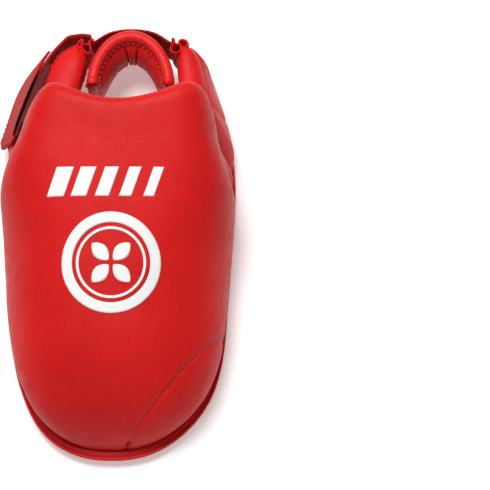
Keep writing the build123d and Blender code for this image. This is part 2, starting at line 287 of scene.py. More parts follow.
def stitch_row(name, path, lift_dir, body, pitch, length, radius, lift):
    """A row of thread stitches along a path; each dips into the surface at its ends.

    lift_dir is one direction out of the surface, or one for each point of the path.
    """
    steps = np.linalg.norm(np.diff(path, axis=0), axis=1)
    count = max(2, int(steps.sum() / pitch))
    centres = even(np.hstack([path, np.broadcast_to(lift_dir, path.shape)]), count)
    middle, out = centres[:, :3], unit(centres[:, 3:])
    along = tangents(middle)
    side = unit(np.cross(along, out))
    spots = np.linspace(-1, 1, 6)
    sides = 6
    angle = np.linspace(0, 2 * PI, sides, endpoint=False)
    points, faces = [], []
    for k in range(count):
        tilt = unit(along[k] + side[k] * rng.uniform(-0.06, 0.06))
        for r, spot in enumerate(spots):
            fat = radius * math.sqrt(max(0.06, 1 - abs(spot) ** 3))
            base = middle[k] + tilt * spot * length / 2 + out[k] * (lift - 0.35 * abs(spot) ** 3)
            start = len(points)
            points.extend(
                base + fat * (math.cos(a) * side[k] + math.sin(a) * out[k]) for a in angle
            )
            if r:
                faces.extend(
                    (start - sides + c, start - sides + (c + 1) % sides, start + (c + 1) % sides, start + c)
                    for c in range(sides)
                )
            else:
                faces.append(tuple(start + c for c in range(sides))[::-1])
        faces.append(tuple(len(points) - sides + c for c in range(sides)))
    return make_piece(name, points, faces, THREAD, body)


def noise_3d(points, scale, seed, octaves=3):
    """Smooth repeatable noise from -1 to 1, from sums of slanted waves."""
    source = np.random.default_rng(seed)
    total = np.zeros(points.shape[:-1])
    weight = 0.0
    for octave in range(octaves):
        for _ in range(5):
            direction = source.normal(size=3)
            direction *= 2**octave * 2 * PI / scale / np.linalg.norm(direction)
            total += np.sin(points @ direction + source.uniform(0, 2 * PI)) / 2**octave
            weight += 0.5 / 2**octave
    return total / weight


# ---------------------------------------------------------------- materials


def new_material(name):
    material = bpy.data.materials.new(name)
    material.use_nodes = True
    tree = material.node_tree
    return material, tree, tree.nodes["Principled BSDF"]


def node(tree, kind, inputs=(), **settings):
    """A shader node; inputs maps socket names or numbers to values or other sockets."""
    made = tree.nodes.new(kind)
    for key, value in settings.items():
        setattr(made, key, value)
    for key, value in dict(inputs).items():
        if isinstance(value, bpy.types.NodeSocket):
            tree.links.new(value, made.inputs[key])
        else:
            made.inputs[key].default_value = value
    return made


def noise(tree, place, scale, detail=3.0, rough=0.5):
    inputs = {"Vector": place, "Scale": scale, "Detail": detail, "Roughness": rough}
    return node(tree, "ShaderNodeTexNoise", inputs).outputs["Fac"]


def blend_colours(tree, factor, first, second):
    made = node(tree, "ShaderNodeMix", data_type="RGBA", clamp_factor=True)
    tree.links.new(factor, made.inputs[0])
    for socket, value in ((made.inputs[6], first), (made.inputs[7], second)):
        if isinstance(value, bpy.types.NodeSocket):
            tree.links.new(value, socket)
        else:
            socket.default_value = (*value, 1)
    return made.outputs[2]


def remap(tree, value, low, high, to_low, to_high):
    made = node(
        tree, "ShaderNodeMapRange",
        {"Value": value, "From Min": low, "From Max": high, "To Min": to_low, "To Max": to_high},
    )
    return made.outputs["Result"]


def bump(tree, height, strength, distance, under=None):
    made = node(tree, "ShaderNodeBump", {"Height": height, "Strength": strength, "Distance": distance})
    if under is not None:
        tree.links.new(under, made.inputs["Normal"])
    return made.outputs["Normal"]


def textured(name):
    """A new material, its tree and shader, and the place in the object that its textures go by."""
    material, tree, shader = new_material(name)
    return material, tree, shader, node(tree, "ShaderNodeTexCoord").outputs["Object"]


def pebble_pits(tree, place, grain):
    """The gaps between the pebbles of leather grain, from 0 in a gap to 1."""
    cells = node(tree, "ShaderNodeTexVoronoi", {"Vector": place, "Scale": grain}, feature="DISTANCE_TO_EDGE")
    return remap(tree, cells.outputs["Distance"], 0.0, 0.16, 0.0, 1.0)


def dress(tree, shader, colour, roughness, normal, specular=0.5, sheen=0.0):
    """Wires a shader's colour, roughness and normal, and sets its gloss and sheen."""
    for socket, value in (("Base Color", colour), ("Roughness", roughness), ("Normal", normal)):
        tree.links.new(value, shader.inputs[socket])
    shader.inputs["Specular IOR Level"].default_value = specular
    shader.inputs["Sheen Weight"].default_value = sheen


def leather(name, light, dark, grain, wrinkle, shine):
    """Soft coated leather: fine pebbled grain with painted shade in its pits, slow colour drift and faint
    creases.
    """
    material, tree, shader, place = textured(name)
    drift = noise(tree, place, 14, 4)
    mottle = noise(tree, place, 160)
    pits = pebble_pits(tree, place, grain)
    base = blend_colours(tree, remap(tree, drift, 0.35, 0.65, 0, 1), dark, light)
    speckled = blend_colours(tree, remap(tree, mottle, 0.3, 0.75, 0, 0.22), base, dark)
    # the gaps between the pebbles are darkened towards deep: painted shade in the grain's pits
    deep = tuple(c * 0.72 for c in dark)
    final = blend_colours(tree, remap(tree, pits, 0, 1, 0.28, 0), speckled, deep)
    creased = {"Vector": place, "Scale": 55.0, "Detail": 5.0, "Distortion": 1.2}
    folds = bump(tree, node(tree, "ShaderNodeTexNoise", creased).outputs["Fac"], wrinkle, 0.0010)
    rough = remap(tree, mottle, 0.25, 0.75, *shine)
    dress(tree, shader, final, rough, bump(tree, pits, 0.35, 0.00016, folds), specular=0.2)
    return material, name


def woven(name, light, dark, pitch, depth):
    """Knitted elastic: rows of zig-zag ribs across the band, with painted shade in the gaps between the
    yarns.
    """
    material, tree, shader, place = textured(name)
    flat = node(tree, "ShaderNodeAttribute", attribute_name="weave").outputs["Vector"]
    parts = node(tree, "ShaderNodeSeparateXYZ", {0: flat})
    along, across = parts.outputs[0], parts.outputs[1]

    def math_node(kind, a, b=0.0):
        return node(tree, "ShaderNodeMath", {0: a, 1: b}, operation=kind).outputs[0]

    zigzag = math_node("PINGPONG", along, pitch)
    shifted = math_node("ADD", across, math_node("MULTIPLY", zigzag, 0.55))
    ribs = math_node("SINE", math_node("MULTIPLY", shifted, 2 * PI / pitch))
    yarns = math_node("SINE", math_node("MULTIPLY", along, 2 * PI / (pitch * 0.5)))
    height = math_node("ADD", math_node("MULTIPLY", ribs, 0.6), math_node("MULTIPLY", yarns, 0.4))
    fuzz = noise(tree, place, 900)
    drift = noise(tree, place, 40)
    # darker where the ribs and yarns sink: painted shade in the gaps between the yarns
    base = blend_colours(tree, remap(tree, height, -0.75, 0.35, 0, 1), dark, light)
    pale = tuple(min(1.0, c * 1.25 + 0.01) for c in light)
    final = blend_colours(tree, remap(tree, drift, 0.35, 0.75, 0, 0.35), base, pale)
    ribbed = bump(tree, height, 0.8, depth, bump(tree, fuzz, 0.3, 0.0002))
    dress(tree, shader, final, remap(tree, fuzz, 0.3, 0.7, 0.68, 0.9), ribbed, specular=0.25, sheen=0.04)
    return material, name


def pile(name, light, dark):
    """The dark fuzzy face of hook-and-loop tape."""
    material, tree, shader, place = textured(name)
    tufts = noise(tree, place, 700, 4, 0.7)
    clumps = noise(tree, place, 160)
    base = blend_colours(tree, remap(tree, tufts, 0.35, 0.65, 0, 1), dark, light)
    final = blend_colours(tree, remap(tree, clumps, 0.4, 0.7, 0, 0.5), base, dark)
    rough = remap(tree, tufts, 0.3, 0.7, 0.75, 0.95)
    dress(tree, shader, final, rough, bump(tree, tufts, 0.9, 0.0007), sheen=0.08)
    return material, name


def thread(name, light, dark):
    """Twisted sewing thread, with painted shade in the grooves of its twist."""
    material, tree, shader, place = textured(name)
    wave = {"Vector": place, "Scale": 900.0, "Distortion": 2.0}
    twist = node(tree, "ShaderNodeTexWave", wave, bands_direction="DIAGONAL").outputs["Fac"]
    rough = remap(tree, noise(tree, place, 1500, 2), 0.3, 0.7, 0.5, 0.75)
    # darker in the grooves of the twist: painted shade
    dress(tree, shader, blend_colours(tree, twist, dark, light), rough, bump(tree, twist, 0.5, 0.0001))
    return material, name


def print_ink(name):
    """A matt white transfer print that lets the leather grain show through, with painted shade in the
    grain's pits.
    """
    material, tree, shader, place = textured(name)
    wear = noise(tree, place, 420, 4, 0.65)
    pits = pebble_pits(tree, place, COVER_GRAIN)
    base = blend_colours(tree, remap(tree, wear, 0.62, 0.8, 0, 0.35), (0.86, 0.86, 0.84), (0.7, 0.45, 0.43))
    # the grain's pits are greyed: painted shade
    final = blend_colours(tree, remap(tree, pits, 0, 1, 0.2, 0), base, (0.62, 0.6, 0.58))
    dress(tree, shader, final, remap(tree, wear, 0.3, 0.7, 0.42, 0.6), bump(tree, pits, 0.25, 0.00012))
    return material, name


COVER_GRAIN = 760.0                 # pebbles to the metre
# each leather's dark colour, darkened further, is also the painted shade in the pits of its grain
COVER = leather("cover_leather", (0.72, 0.011, 0.010), (0.58, 0.005, 0.005), COVER_GRAIN, 0.35, (0.42, 0.58))
LINING = leather("lining_leather", (0.64, 0.015, 0.014), (0.50, 0.007, 0.007), 640.0, 0.6, (0.42, 0.58))
BEAD = leather("bead_leather", (0.72, 0.018, 0.017), (0.58, 0.009, 0.009), 820.0, 0.3, (0.33, 0.48))
# the second colour of each woven look is the painted shade in the gaps between its yarns
ELASTIC = woven("woven_elastic", (0.62, 0.010, 0.014), (0.16, 0.002, 0.004), 1.25, 0.0004)
WEBBING = woven("strap_webbing", (0.62, 0.006, 0.008), (0.26, 0.002, 0.004), 0.9, 0.00025)
PILE = pile("hook_and_loop", (0.21, 0.007, 0.012), (0.045, 0.002, 0.004))
# the thread's second colour is the painted shade in the grooves of its twist
THREAD = thread("thread", (0.66, 0.06, 0.055), (0.38, 0.012, 0.014))
INK = print_ink("print_white")


# ---------------------------------------------------------------- instep dome

DOME_COLS = 121
SIDE_COLS = 5                       # columns of the lining's roll down to the rim
ROLL_ROWS = 12


def dome_row(y, inset):
    """One cross-section of the dome at y, evenly spaced from the right side over to the left."""
    run = y - DOME_TOE_Y - inset
    shoulder = SHOULDER * smooth((y - SHOULDER_START_Y) / SHOULDER_LENGTH)
    width = float((half_width(y) - shoulder - inset) * rounded(run, TOE_RUN, TOE_POWER))
    ridge = DOME_FRONT + (DOME_BACK - DOME_FRONT) * (y - DOME_TOE_Y) / DOME_LENGTH - inset
    height = FOOT + float((ridge - FOOT) * rounded(run, DOME_ROUND, 2))
    bulge = FOOT + min(WALL_HEIGHT, WALL_SHARE * (height - FOOT))
    power = float(CORNER_POWER + CORNER_GAIN * smooth((y - CORNER_START_Y) / CORNER_LENGTH))
    angle = np.linspace(0, PI, 241)
    across = np.sign(np.cos(angle)) * np.abs(np.cos(angle)) ** (2 / power)
    x = width * across
    z = bulge + (height - bulge) * np.sin(angle) ** (2 / power)
    low = np.linspace(0, 1, 12)[:-1]
    low_x = width * (1 - WALL_LEAN + WALL_LEAN * np.sin(low * PI / 2))
    low_z = FOOT + (bulge - FOOT) * low
    x = np.concatenate([low_x, x, -low_x[::-1]])
    z = np.concatenate([low_z, z, low_z[::-1]])
    line = np.stack([centre_x(y) + x, np.full(len(x), y), z], 1)
    if width < 1e-6:
        return np.repeat(line[:1], DOME_COLS, 0)
    return even(line, DOME_COLS)


def dome_surface(inset):
    """Cross-sections at many stations, and the stations, as a table to look up."""
    start = DOME_TOE_Y + inset
    turn = np.linspace(0, PI / 2, 50)
    stations = np.concatenate([start + 45 * (1 - np.cos(turn)), np.linspace(start + 46.5, 84, 75)])
    return stations, np.stack([dome_row(y, inset) for y in stations])


def look_up(surface, column, y):
    """Points of a surface's column at the given stations."""
    stations, table = surface
    return np.stack([np.interp(y, stations, table[:, column, k]) for k in range(3)], 1)


def rear_edge(surface):
    """Where each column of the dome ends: the throat's lip on top, the slanting seam at the sides."""
    soft = 3.0                       # how softly the one runs into the other
    ends = []
    for column in range(DOME_COLS):
        y = 60.0
        for _ in range(12):
            x, _, z = look_up(surface, column, np.array([y]))[0]
            slant = SLANT_Y + SLANT * (z - FOOT)
            lip = LIP_Y + LIP_RADIUS - math.sqrt(LIP_RADIUS**2 - min(abs(x - LIP_X), 80) ** 2)
            y = 0.5 * y - 0.5 * soft * math.log(math.exp(-slant / soft) + math.exp(-lip / soft))
        ends.append(y)
    return np.array(ends)


OUTSIDE = dome_surface(0.0)
INSIDE = dome_surface(DOME_WALL)
ROLL_RADIUS = DOME_WALL / 2
EDGE_Y = rear_edge(OUTSIDE) - ROLL_RADIUS * 0.8


def dome_columns(surface, inset):
    """The dome's skin as a grid of rows, closer together at the toe, and columns out to its rear edge."""
    start = DOME_TOE_Y + inset
    toe = start + 40 * (1 - np.cos(np.linspace(0, PI / 2, 34)))
    columns = [
        look_up(surface, c, np.concatenate([toe, np.linspace(start + 41.8, EDGE_Y[c], 60)]))
        for c in range(DOME_COLS)
    ]
    return np.stack(columns, 1)


def grid_normals(grid):
    """Outward normals of a dome grid."""
    along, around = np.gradient(grid, axis=0), np.gradient(grid, axis=1)
    return -unit(np.cross(around, along))


cover_grid = dome_columns(OUTSIDE, 0.0)
lining_grid = dome_columns(INSIDE, DOME_WALL)
edge_out, edge_in = cover_grid[-1], lining_grid[-1]
edge_back = unit(cover_grid[-1] - cover_grid[-2])
edge_line = tangents(edge_out)
edge_away = unit(edge_back - edge_line * np.sum(edge_back * edge_line, 1, keepdims=True))


def roll(turn_start, turn_end, rows):
    """Rows of the padded edge that rolls from the outside of the dome to its inside."""
    middle, half = (edge_out + edge_in) / 2, (edge_out - edge_in) / 2
    reach = np.linalg.norm(half, axis=1, keepdims=True)
    turns = np.linspace(turn_start, turn_end, rows)
    return np.stack([middle + half * math.cos(t) + edge_away * reach * math.sin(t) for t in turns])


def soften(grid, amount, seed, scale):
    """Slow unevenness of stuffed leather, along the skin's normals."""
    normals = grid_normals(grid)
    return grid + normals * (noise_3d(grid, scale, seed) * amount)[..., None]


LIP_TURN = math.radians(150)
cover_rows = np.vstack([cover_grid, roll(0, LIP_TURN, ROLL_ROWS)[1:]])
cover_rows[2:] = soften(cover_rows, 0.35, 3, 55.0)[2:]
lining_rows = np.vstack([lining_grid, roll(LIP_TURN, PI, 4)[::-1][1:]])


def seam_groove(grid, distance, depth, width):
    """Sinks a skin along a seam; distance is each point's distance from the seam line."""
    return grid - grid_normals(grid) * (depth * peak(distance, width))[..., None]


# the toe-side panel's seam is this arc in plan, with the panel on its toe side
PANEL_ARC = np.array([(72.0, -44.0), (27.0, -88.0), (-2.0, -124.0)])


def circle_through(three):
    """Centre and radius of the circle through three points in plan."""
    rows = 2 * (three[1:] - three[0])
    centre = np.linalg.solve(rows, (three[1:] ** 2).sum(1) - (three[0] ** 2).sum())
    return centre, float(np.linalg.norm(three[0] - centre))


PANEL_CENTRE, PANEL_RADIUS = circle_through(PANEL_ARC)


def panel_distance(points):
    """Signed distance in plan from the panel seam, positive on the toe-side panel."""
    return PANEL_RADIUS - np.linalg.norm(points[..., :2] - PANEL_CENTRE, axis=-1)


def touched(faces):
    """Which points of a grid the given faces touch."""
    points = np.zeros((faces.shape[0] + 1, faces.shape[1] + 1), bool)
    for rows in (slice(None, -1), slice(1, None)):
        for cols in (slice(None, -1), slice(1, None)):
            points[rows, cols] |= faces
    return points


def on_seam(grid, keep):
    """Slides the grid's points between kept and unkept faces along the skin on to the panel seam."""
    kept_faces = keep[:-1, :-1]
    border = touched(kept_faces) & touched(~kept_faces)
    normals = grid_normals(grid)
    away = grid - np.array([*PANEL_CENTRE, 0])
    away[..., 2] = 0
    away = unit(away)
    lean = np.sum(normals * away, -1)
    slide = panel_distance(grid) / np.maximum(0.2, 1 - lean**2)
    step = (away - normals * lean[..., None]) * np.clip(slide, -2.2, 2.2)[..., None]
    return np.where(border[..., None], grid + step, grid)


on_panel = panel_distance(cover_rows) > 0
cover_rows = on_seam(cover_rows, on_panel)
cover_rows = seam_groove(cover_rows, panel_distance(cover_rows), 0.7, 1.5)


COVER_SKIN, LINING_SKIN, PRINT_SKIN = 1.1, 0.9, 0.3


def cover_piece(name, keep):
    """The part of the cover whose faces are kept."""
    cols = keep.shape[1]
    faces = [face for face in grid_faces(*keep.shape) if keep[face[0] // cols, face[0] % cols]]
    used = sorted({index for face in faces for index in face})
    new_index = {old: new for new, old in enumerate(used)}
    faces = [tuple(new_index[index] for index in face)[::-1] for face in faces]
    return skin(make_piece(name, cover_rows.reshape(-1, 3)[used], faces, COVER, "shell"), COVER_SKIN)


instep_cover = cover_piece("instep_cover_leather", ~on_panel)
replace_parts(instep_cover, "instep_cover", "instep_foam")
toe_panel = cover_piece("toe_side_panel_leather", on_panel)
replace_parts(toe_panel, "toe_side_panel")


# ---------------------------------------------------------------- printed mark

ABOVE_ALL = 200.0                    # a height above the whole guard
PRINT_LIFT = 0.05
cover_tree = BVHTree.FromPolygons(
    cover_rows.reshape(-1, 3).tolist(), grid_faces(*cover_rows.shape[:2]), all_triangles=False
)


def drop(x, y):
    """The place and the normal where a plan point meets the cover from above."""
    return cover_tree.ray_cast(Vector((x, y, ABOVE_ALL)), Vector((0, 0, -1)))[:2]


def print_piece(name, flat):
    """A print on the cover, from a grid of plan points."""
    placed = []
    for x, y in flat.reshape(-1, 2):
        spot, normal = drop(x, y)
        placed.append(spot + (normal if normal.z > 0 else -normal) * PRINT_LIFT)
    return sheet_piece(name, np.array(placed).reshape(*flat.shape[:2], 3), INK, "shell", PRINT_SKIN)


BAR_COUNT, BAR_SLANT = 5, 5.5
BAR_GAP, BAR_NARROWER = 3.6, 0.9     # each bar is that much narrower than the one before
BAR_FRONT, BAR_BACK = 10.0, 25.0
BARS_LEFT, BARS_RIGHT = -35.0, 34.0
bar_pitch = (BARS_RIGHT - BARS_LEFT - BAR_SLANT) / BAR_COUNT
for bar in range(BAR_COUNT):
    along_y = np.linspace(0, 1, 16)[:, None]
    across_x = np.linspace(0, 1, 12)[None, :]
    bar_width = bar_pitch - BAR_GAP - BAR_NARROWER * bar
    bar_x = BARS_LEFT + bar * bar_pitch + BAR_SLANT * along_y + bar_width * across_x
    bar_y = BAR_FRONT + (BAR_BACK - BAR_FRONT) * along_y + 0 * across_x
    print_piece(f"print_bar_{bar}", np.stack([bar_x, bar_y], 2))

RING_CENTRE = np.array([-1.0, -24.0])
ring_angle = np.linspace(0, 2 * PI, 97)[:, None]
for ring_name, inner, outer in (("wide", 20.5, 26.0), ("fine", 17.0, 18.4)):
    ring_radius = np.linspace(outer, inner, 7)[None, :]
    ring_flat = np.stack([np.cos(ring_angle) * ring_radius, np.sin(ring_angle) * ring_radius], 2)
    print_piece(f"print_ring_{ring_name}", RING_CENTRE + ring_flat)
PETAL_MIDDLE, PETAL_LENGTH, PETAL_HALF = 7.9, 12.4, 3.9
petal = np.linspace(-1, 1, 15)
petal_half = PETAL_HALF * np.cos(petal * PI / 2) ** 0.8
for turn in range(4):
    angle = PI / 4 + turn * PI / 2
    out = np.array([math.cos(angle), math.sin(angle)])
    side = np.array([out[1], -out[0]])
    reach = PETAL_MIDDLE + PETAL_LENGTH / 2 * petal
    petal_side = petal_half[:, None] * np.linspace(-1, 1, 7)[None, :]
    petal_flat = reach[:, None, None] * out + petal_side[..., None] * side
    print_piece(f"print_petal_{turn}", RING_CENTRE + petal_flat)


THREAD_ASIDE, THREAD_LOWEST = 1.3, 14.0   # from the seam, and above the rim's plane
seam_turn = np.linspace(0.04, 0.93, 200)
seam_from, seam_to = (math.atan2(*(PANEL_ARC[k] - PANEL_CENTRE)[::-1]) for k in (0, 2))
seam_angle = seam_from + (seam_to - seam_from) * seam_turn
seam_out = np.stack([np.cos(seam_angle), np.sin(seam_angle)], 1)
seam_plan = PANEL_CENTRE + seam_out * (PANEL_RADIUS + THREAD_ASIDE)
seam_hits = [drop(x, y)[0] for x, y in seam_plan]
seam_points = np.array([spot for spot in seam_hits if spot is not None and spot.z > THREAD_LOWEST])
stitch_row("toe_panel_stitches", seam_points, [0.2, -0.3, 1.0], "shell", 2.6, 1.8, 0.2, 0.12)


# ---------------------------------------------------------------- lining


def plan_outward(line):
    """Outward plan directions along a line that runs from the toe up the right side."""
    along = tangents(line)
    return unit(np.stack([along[:, 1], -along[:, 0], np.zeros(len(line))], 1))


LINING_OUT = 8.8                    # from the lining's foot out to the piping
LINING_LOW = 3.2
# length and depth of the lining's wrinkles low down, of its slow waves, and of the folds at the toe
WRINKLE, SLOW_WAVE, TOE_FOLD = (4.2, 0.28), (38.0, 0.8), (11.0, 0.7)


def lining_skirt(foot_line, side):
    """Columns that carry the lining from its foot in a soft roll out to the piping."""
    outward = plan_outward(foot_line * np.array([side, 1, 1])) * np.array([side, 1, 1])
    columns = []
    for share in np.linspace(0, 1, SIDE_COLS + 1)[1:]:
        out = LINING_OUT * (1 - math.cos(share * PI / 2))
        down = (FOOT - LINING_LOW) * math.sin(share * PI / 2)
        columns.append(foot_line + outward * out - np.array([0, 0, down]))
    return np.stack(columns, 1)


right_skirt = lining_skirt(lining_rows[:, 0], 1)
left_skirt = lining_skirt(lining_rows[:, -1], -1)
lining_full = np.concatenate([right_skirt[:, ::-1], lining_rows, left_skirt], 1)


def wrinkled_lining(grid):
    """The lining's loose leather: fine upright wrinkles low down, and soft waves higher up."""
    normals = grid_normals(grid)
    low = np.exp(-np.maximum(0, grid[..., 2] - 6) / 14)
    along = grid[..., 1] + 0.4 * grid[..., 0]
    fine = wave(along, WRINKLE[0], 2.2 * noise_3d(grid, 30.0, 5)) * WRINKLE[1] * low
    waves = noise_3d(grid, SLOW_WAVE[0], 9) * SLOW_WAVE[1]
    middle = np.abs(grid[..., 0] - centre_x(grid[..., 1]) + 3.0)
    seam = 1.1 * peak(middle, 1.3)
    toe_folds = wave(grid[..., 0], TOE_FOLD[0]) * TOE_FOLD[1] * smooth((-50 - grid[..., 1]) / 40)
    return grid - normals * (fine + waves + toe_folds - seam)[..., None]


lining_full[3:] = wrinkled_lining(lining_full)[3:]
lining_middle = lining_full.shape[1] // 2
for lining_name, first, last in (
    ("lining_right", 0, lining_middle + 1),
    ("lining_left", lining_middle, lining_full.shape[1]),
):
    lining_piece = sheet_piece(
        lining_name + "_leather", lining_full[:, first:last], LINING, "shell", LINING_SKIN
    )
    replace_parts(lining_piece, lining_name)


# ---------------------------------------------------------------- rim bead, piping and welt


def rim_line(inset, z, count):
    """The rim's line at an inset, from the left arm's end round the toe to the right arm's end."""
    angle = np.linspace(0, PI / 2, 40)[1:]
    y = TOE_Y + TOE_RUN - (TOE_RUN - inset) * np.maximum(0, np.cos(angle)) ** (2 / TOE_POWER)
    x = (half_width(y) - inset) * np.sin(angle) ** (2 / TOE_POWER)
    side_y = np.linspace(TOE_Y + TOE_RUN, ARM_END_Y, 60)[1:]
    x = np.concatenate([x, half_width(side_y) - inset])
    y = np.concatenate([y, side_y])
    right = np.stack([centre_x(y) + x, y], 1)
    left = np.stack([centre_x(y) - x, y], 1)
    flat = np.vstack([left[::-1], [[centre_x(TOE_Y), TOE_Y + inset]], right])
    return even(raised(flat, z), count)


RIM_POINTS = 420
RIM_CREASES, RIM_CREASE_DEPTH = 61, 0.012   # their number, and depth as a share of the bead's radius
bead_path = rim_line(BEAD_RADIUS + 0.1, BEAD_RADIUS, RIM_POINTS)
bead_radius = round_ends(bead_path, BEAD_RADIUS - 0.05)
bead_along = np.linspace(0, 1, len(bead_path))
bead_creases = np.sin(bead_along * 2 * PI * RIM_CREASES + 3 * np.sin(bead_along * 40))
bead_sections = tube_sections(bead_path, bead_radius * (1 - RIM_CREASE_DEPTH * (1 + bead_creases)), 22)
bead_sections[..., 2] = np.maximum(bead_sections[..., 2], 0.02)
rim_bead = swept("rim_bead_leather", bead_sections, BEAD, "shell")
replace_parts(rim_bead, "rim_bead")


def cord(name, path, radius):
    """A thin leather cord along a path."""
    return swept(name, tube_sections(path, round_ends(path, radius), 10), BEAD, "shell")


rim_piping = cord("rim_piping_cord", rim_line(2 * BEAD_RADIUS + 1.3, 2.6, RIM_POINTS)[3:-3], 0.95)
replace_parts(rim_piping, "rim_piping")
rim_seam = rim_line(2 * BEAD_RADIUS - 0.25, 1.5, 700)[8:-8]
stitch_row("rim_stitches", rim_seam, -UP, "shell", 3.6, 2.6, 0.32, 0.1)
cord("rim_welt", rim_line(0.9, BEAD_HEIGHT - 0.9, RIM_POINTS)[4:-4], 0.8)


# ---------------------------------------------------------------- cloth simulation

VOXEL = 0.0028                       # metres, of the copy that is simulated
CLOTH_FRAMES, PRESSURE = 20, 5.0
NEAREST = 4                          # simulated points that carry each point of the piece


def mesh_points(mesh):
    points = np.empty(len(mesh.vertices) * 3)
    mesh.vertices.foreach_get("co", points)
    return points.reshape(-1, 3)


def point_tree(points):
    """A tree that finds the points nearest to a place."""
    tree = kdtree.KDTree(len(points))
    for index, point in enumerate(points):
        tree.insert(point, index)
    tree.balance()
    return tree


def settle_cloth(piece, pins, cap):
    """Swells a padded piece as cloth held at its seams, and moves its points with the cloth.

    pins holds each point from 0, free, to 1, sewn down; cap is about the longest move in millimetres.
    A remeshed copy is simulated, so that the piece keeps its seams. Returns what moves other
    points (in millimetres) along with it.
    """
    scene = bpy.context.scene
    copy = bpy.data.objects.new("cloth_copy", piece.data.copy())
    scene.collection.objects.link(copy)
    remesh = copy.modifiers.new("remesh", "REMESH")
    remesh.mode, remesh.voxel_size = "VOXEL", VOXEL
    graph = bpy.context.evaluated_depsgraph_get()
    copy.data = bpy.data.meshes.new_from_object(copy.evaluated_get(graph))
    copy.modifiers.clear()
    before = mesh_points(copy.data)
    tree = point_tree(mesh_points(piece.data))
    group = copy.vertex_groups.new(name="pins")
    for index, point in enumerate(before):
        group.add([index], float(pins[tree.find(point)[1]]), "REPLACE")
    cloth = copy.modifiers.new("cloth", "CLOTH")
    cloth.point_cache.frame_end = CLOTH_FRAMES
    settings = cloth.settings
    settings.use_pressure, settings.uniform_pressure_force = True, PRESSURE
    settings.effector_weights.gravity = 0
    settings.vertex_group_mass = "pins"
    settings.mass, settings.quality = 0.3, 6
    settings.tension_stiffness = settings.compression_stiffness = 12
    settings.bending_stiffness = 0.4
    for step in range(1, CLOTH_FRAMES + 1):
        scene.frame_set(step)
    after = mesh_points(copy.evaluated_get(bpy.context.evaluated_depsgraph_get()).data)
    scene.frame_set(1)
    move = (after - before) / MM
    length = np.linalg.norm(move, axis=1, keepdims=True)
    move = move * (cap * np.tanh(length / cap) / np.maximum(length, 1e-6))
    bpy.data.objects.remove(copy)
    cloth_tree = point_tree(before)

    def carried(points):
        moved = []
        for point in points:
            found = cloth_tree.find_n(Vector(point * MM), NEAREST)
            weight = np.array([1 / (distance + 1e-4) ** 2 for _, _, distance in found])
            shift = move[[index for _, index, _ in found]]
            moved.append(point + (shift * weight[:, None]).sum(0) / weight.sum())
        return np.array(moved)

    new = carried(mesh_points(piece.data) / MM)
    piece.data.vertices.foreach_set("co", (new * MM).ravel())
    piece.data.update()
    return carried


# ---------------------------------------------------------------- ankle arms

ARMS = (("left_arm", -1), ("right_arm", 1))
ARM_COLS = 64
ARM_START_Y = 33.0
ARM_CLOSE_Y, ARM_CLOSE_LENGTH = 94.0, 11.5   # where an arm starts to close, and over what length


def arm_lean(y):
    along = np.clip((y - SLANT_Y) / (ARM_END_Y - SLANT_Y), 0, 1)
    return ARM_END_LEAN + ARM_LEAN * np.sin(PI * along**0.85)


def arm_thickness(y):
    share = smooth((y - 60) / (ARM_END_Y - 60))
    return ARM_THICK + (ARM_END_THICK - ARM_THICK) * share


def arm_place(side, y, z, depth):
    """A point of an arm at a depth below its outer face; side is -1 or 1."""
    slope = half_width(y + 0.5) - half_width(y - 0.5)
    length = np.hypot(1, slope)
    x = half_width(y) - arm_lean(y) * z / ARM_TOP - depth / length
    return np.stack(np.broadcast_arrays(centre_x(y) + side * x, y + depth * slope / length, z), -1)


# section of an arm: share of the thickness, height, and share of the outward padding there
ARM_SECTION = [
    (0.16, 4.6, 0.3), (0.02, 12.0, 0.8), (0.0, 24.0, 1.0), (0.02, 35.0, 1.0), (0.12, 43.0, 0.8),
    (0.42, 47.0, 0.3), (0.80, 45.6, 0), (1.04, 39.5, 0), (1.08, 28.0, 0), (0.98, 17.0, 0),
    (0.80, 8.0, 0), (0.66, 3.4, 0), (0.40, 3.6, 0.1),
]
ARM_PUFF = {-1: 6.4, 1: 4.2}         # how far each arm's outer panel swells out
ARM_INNER_PUFF = 3.6                 # and its inner face near the heel
PANEL_SEAM_Y = 68.0                  # seam across the outer panel
SEAM_HEIGHT = 41.0                   # stitched seam between the outer and the inner panel
START_SEAM_DEPTH, PANEL_SEAM_DEPTH, STITCHED_SEAM_DEPTH = 2.6, 1.1, 0.8
SEAM_ROWS = slice(14, 76)            # the stitches go along these rows of the seam
STRAP_BELLY = 2.6                    # more swelling of the left one, where it fills the strap's bend
ARM_CAP = 2.6                        # the longest move of the cloth
# length and depth of the fine wrinkles inside an arm, and of the pleats near its end
ARM_WRINKLE, ARM_PLEAT = (3.4, 0.22), (7.5, 0.9)
arm_seams = {}                       # by side: the seam's points, and directions out of it


